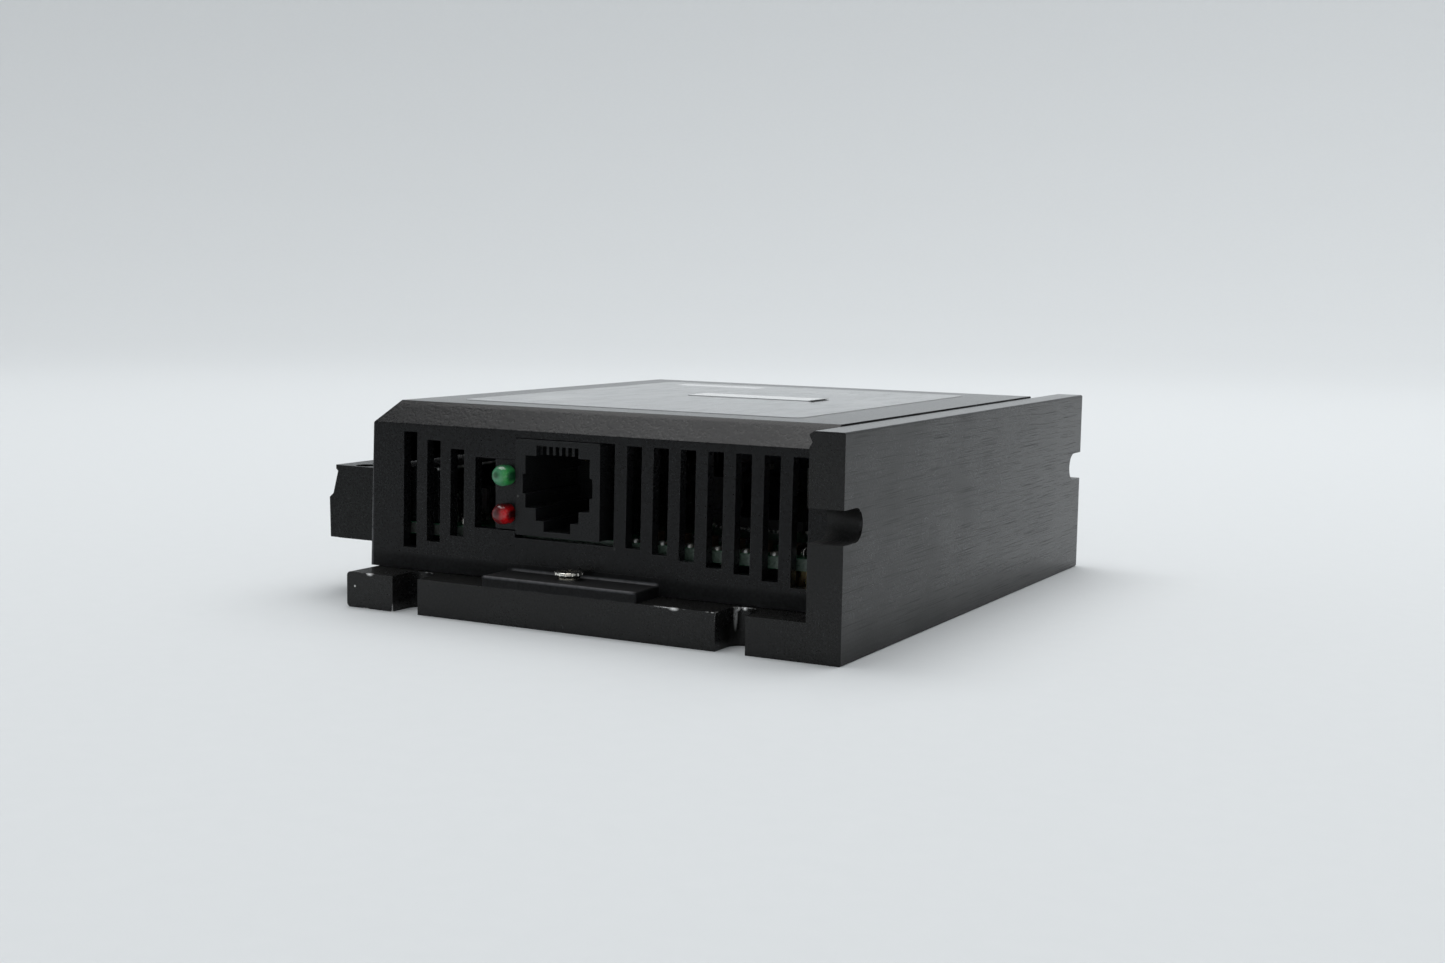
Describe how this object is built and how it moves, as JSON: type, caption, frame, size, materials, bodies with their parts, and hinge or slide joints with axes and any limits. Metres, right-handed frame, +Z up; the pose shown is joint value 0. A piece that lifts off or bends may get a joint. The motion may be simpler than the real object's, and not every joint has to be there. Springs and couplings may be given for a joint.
{
  "type": "servo drive",
  "caption": "Compact panel servo drive: black vented cover on an L-shaped heat plate, modular jack, two status lights and a pluggable screw terminal block.",
  "frame": {"origin": "centre of the heat plate's bottom mounting face", "axes": "+X towards the upright wall, +Y from the jack side to the back, +Z up from the mounting face"},
  "size_m": [0.0874, 0.095, 0.029],
  "materials": {
    "anodised_plate": "black anodised over a fine drawn grain, bare chips on the front edge",
    "cover_plastic": "black moulded plastic with a fine spark texture",
    "label_film": "satin dark grey printed film",
    "sticker_film": "glossy white film",
    "screw_steel": "nickel plated",
    "board_laminate": "green solder mask",
    "standoff_brass": "plain",
    "gap_pad": "soft silicone",
    "tinned_copper": "tin plated copper",
    "epoxy": "moulded epoxy",
    "nylon": "natural nylon",
    "jack_plastic": "satin moulded plastic",
    "gold_contact": "gold plated",
    "green_lens": "tinted diffused epoxy",
    "red_lens": "tinted diffused epoxy",
    "terminal_plastic": "satin moulded polyamide",
    "shell_plating": "nickel plated sheet",
    "capacitor_sleeve": "shrink sleeve",
    "ferrite": "sintered ferrite",
    "resistor_ceramic": "glazed alumina",
    "capacitor_ceramic": "sintered ceramic"
  },
  "bodies": {
    "drive": {"heat_plate": "anodised_plate", "cover": "cover_plastic", "top_label": "label_film", "sticker": "sticker_film", "cover_screws": "screw_steel", "circuit_board": "board_laminate", "board_standoffs": "standoff_brass", "board_screws": "screw_steel", "thermal_pad": "gap_pad", "transistor_tabs": "tinned_copper", "transistor_bodies": "epoxy", "transistor_leads": "tinned_copper", "insulating_washers": "nylon", "transistor_screws": "screw_steel", "jack_housing": "jack_plastic", "jack_contacts": "gold_contact", "led_holder": "jack_plastic", "green_led": "green_lens", "red_led": "red_lens", "led_leads": "tinned_copper", "terminal_header": "terminal_plastic", "header_pins": "tinned_copper", "signal_shell": "shell_plating", "signal_insert": "jack_plastic", "signal_contacts": "gold_contact", "signal_jack_screws": "shell_plating", "bus_capacitors": "capacitor_sleeve", "capacitor_leads": "tinned_copper", "motor_controller": "epoxy", "memory_chip": "epoxy", "gate_drivers": "epoxy", "serial_transceiver": "epoxy", "chip_leads": "tinned_copper", "converter_transformer": "ferrite", "power_inductor": "ferrite", "clock_crystal": "shell_plating", "sense_resistors": "resistor_ceramic", "voltage_regulator": "epoxy", "ceramic_capacitors": "capacitor_ceramic", "chip_resistors": "resistor_ceramic", "edge_solder": "tinned_copper"},
    "terminal_plug": {"plug_housing": "terminal_plastic", "plug_contacts": "tinned_copper"},
    "clamp_screw_1": {"clamp_screw_1": "screw_steel"},
    "wire_clamp_1": {"wire_clamp_1": "tinned_copper"},
    "clamp_screw_2": {"clamp_screw_2": "screw_steel"},
    "wire_clamp_2": {"wire_clamp_2": "tinned_copper"},
    "clamp_screw_3": {"clamp_screw_3": "screw_steel"},
    "wire_clamp_3": {"wire_clamp_3": "tinned_copper"},
    "clamp_screw_4": {"clamp_screw_4": "screw_steel"},
    "wire_clamp_4": {"wire_clamp_4": "tinned_copper"},
    "clamp_screw_5": {"clamp_screw_5": "screw_steel"},
    "wire_clamp_5": {"wire_clamp_5": "tinned_copper"},
    "clamp_screw_6": {"clamp_screw_6": "screw_steel"},
    "wire_clamp_6": {"wire_clamp_6": "tinned_copper"},
    "clamp_screw_7": {"clamp_screw_7": "screw_steel"},
    "wire_clamp_7": {"wire_clamp_7": "tinned_copper"}
  },
  "joints": [
    {"name": "plug_pull", "type": "slide", "parent": "drive", "child": "terminal_plug", "axis": [-1, 0, 0], "range_m": [0, 0.01]},
    {"name": "screw_turn_1", "type": "hinge", "parent": "terminal_plug", "child": "clamp_screw_1", "pos_m": [-0.0437, -0.0361, 0.0164], "axis": [0, 0, 1], "range_deg": [-1440, 0]},
    {"name": "clamp_rise_1", "type": "slide", "parent": "terminal_plug", "child": "wire_clamp_1", "axis": [0, 0, 1], "range_m": [0, 0.0016]},
    {"name": "screw_turn_2", "type": "hinge", "parent": "terminal_plug", "child": "clamp_screw_2", "pos_m": [-0.0437, -0.03228, 0.0164], "axis": [0, 0, 1], "range_deg": [-1440, 0]},
    {"name": "clamp_rise_2", "type": "slide", "parent": "terminal_plug", "child": "wire_clamp_2", "axis": [0, 0, 1], "range_m": [0, 0.0016]},
    {"name": "screw_turn_3", "type": "hinge", "parent": "terminal_plug", "child": "clamp_screw_3", "pos_m": [-0.0437, -0.02848, 0.0164], "axis": [0, 0, 1], "range_deg": [-1440, 0]},
    {"name": "clamp_rise_3", "type": "slide", "parent": "terminal_plug", "child": "wire_clamp_3", "axis": [0, 0, 1], "range_m": [0, 0.0016]},
    {"name": "screw_turn_4", "type": "hinge", "parent": "terminal_plug", "child": "clamp_screw_4", "pos_m": [-0.0437, -0.02466, 0.0164], "axis": [0, 0, 1], "range_deg": [-1440, 0]},
    {"name": "clamp_rise_4", "type": "slide", "parent": "terminal_plug", "child": "wire_clamp_4", "axis": [0, 0, 1], "range_m": [0, 0.0016]},
    {"name": "screw_turn_5", "type": "hinge", "parent": "terminal_plug", "child": "clamp_screw_5", "pos_m": [-0.0437, -0.02086, 0.0164], "axis": [0, 0, 1], "range_deg": [-1440, 0]},
    {"name": "clamp_rise_5", "type": "slide", "parent": "terminal_plug", "child": "wire_clamp_5", "axis": [0, 0, 1], "range_m": [0, 0.0016]},
    {"name": "screw_turn_6", "type": "hinge", "parent": "terminal_plug", "child": "clamp_screw_6", "pos_m": [-0.0437, -0.01704, 0.0164], "axis": [0, 0, 1], "range_deg": [-1440, 0]},
    {"name": "clamp_rise_6", "type": "slide", "parent": "terminal_plug", "child": "wire_clamp_6", "axis": [0, 0, 1], "range_m": [0, 0.0016]},
    {"name": "screw_turn_7", "type": "hinge", "parent": "terminal_plug", "child": "clamp_screw_7", "pos_m": [-0.0437, -0.01324, 0.0164], "axis": [0, 0, 1], "range_deg": [-1440, 0]},
    {"name": "clamp_rise_7", "type": "slide", "parent": "terminal_plug", "child": "wire_clamp_7", "axis": [0, 0, 1], "range_m": [0, 0.0016]}
  ],
  "couplings": [
    {"joint": "screw_turn_1", "follows": "clamp_rise_1", "rad_per_m": -15708},
    {"joint": "screw_turn_2", "follows": "clamp_rise_2", "rad_per_m": -15708},
    {"joint": "screw_turn_3", "follows": "clamp_rise_3", "rad_per_m": -15708},
    {"joint": "screw_turn_4", "follows": "clamp_rise_4", "rad_per_m": -15708},
    {"joint": "screw_turn_5", "follows": "clamp_rise_5", "rad_per_m": -15708},
    {"joint": "screw_turn_6", "follows": "clamp_rise_6", "rad_per_m": -15708},
    {"joint": "screw_turn_7", "follows": "clamp_rise_7", "rad_per_m": -15708}
  ]
}
